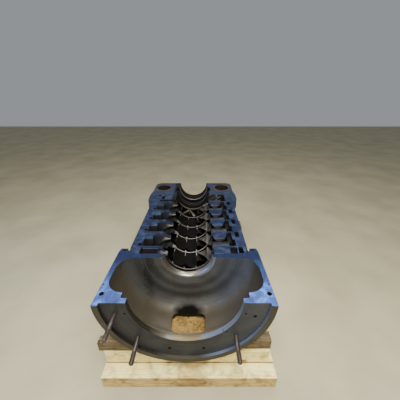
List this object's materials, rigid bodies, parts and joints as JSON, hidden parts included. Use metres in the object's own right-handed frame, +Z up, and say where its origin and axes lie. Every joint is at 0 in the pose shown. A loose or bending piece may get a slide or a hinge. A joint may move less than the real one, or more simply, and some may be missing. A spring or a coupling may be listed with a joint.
{
  "type": "turbine casing lower half",
  "caption": "Lower half of a horizontally split multistage turbine casing, open with its split face up: ring end, annular chamber, vaned stages, rear housing, resting on timbers.",
  "frame": {"origin": "on the floor under the middle of the object's bounding box", "axes": "+Y runs back along the machine axis from the ring end, +X across it to the right, +Z up out of the split face"},
  "size_m": [1.244, 1.98, 0.715],
  "materials": {
    "split_face_iron": "planed split face with a blue-grey marking film",
    "chamber_iron": "bare turned casting, brown-grey",
    "turned_iron": "bright machined rings",
    "face_iron": "dark turned end face",
    "stage_iron": "rough cast passages, brown-black",
    "rusty_iron": "rusty brown-grey casting",
    "stud_steel": "oiled steel studs, brown-grey",
    "new_pine": "new sawn softwood",
    "old_wood": "weathered sawn timber"
  },
  "bodies": {
    "root": {"front_ring_flange": "face_iron", "chamber_shell": "chamber_iron", "chamber_rear_wall": "chamber_iron", "bore_lip_ring": "turned_iron", "front_split_flange_right": "split_face_iron", "front_split_flange_left": "split_face_iron", "rear_split_flange_right": "split_face_iron", "rear_split_flange_left": "split_face_iron", "stage_barrel": "stage_iron", "seal_carrier": "split_face_iron", "seal_ring": "turned_iron", "rear_housing": "rusty_iron", "front_stud_1": "stud_steel", "front_stud_2": "stud_steel", "front_stud_3": "stud_steel", "front_floor_beam": "new_pine", "front_plank": "new_pine", "chock_left": "old_wood", "chock_right": "old_wood", "second_plank": "old_wood", "second_floor_beam": "old_wood", "rear_floor_beam": "old_wood", "rear_middle_beam": "old_wood", "rear_top_beam": "new_pine", "stage_wall_1": "stage_iron", "stage_wall_2": "stage_iron", "stage_wall_3": "stage_iron", "stage_wall_4": "stage_iron", "stage_wall_5": "stage_iron", "stage_wall_6": "stage_iron"}
  },
  "joints": []
}
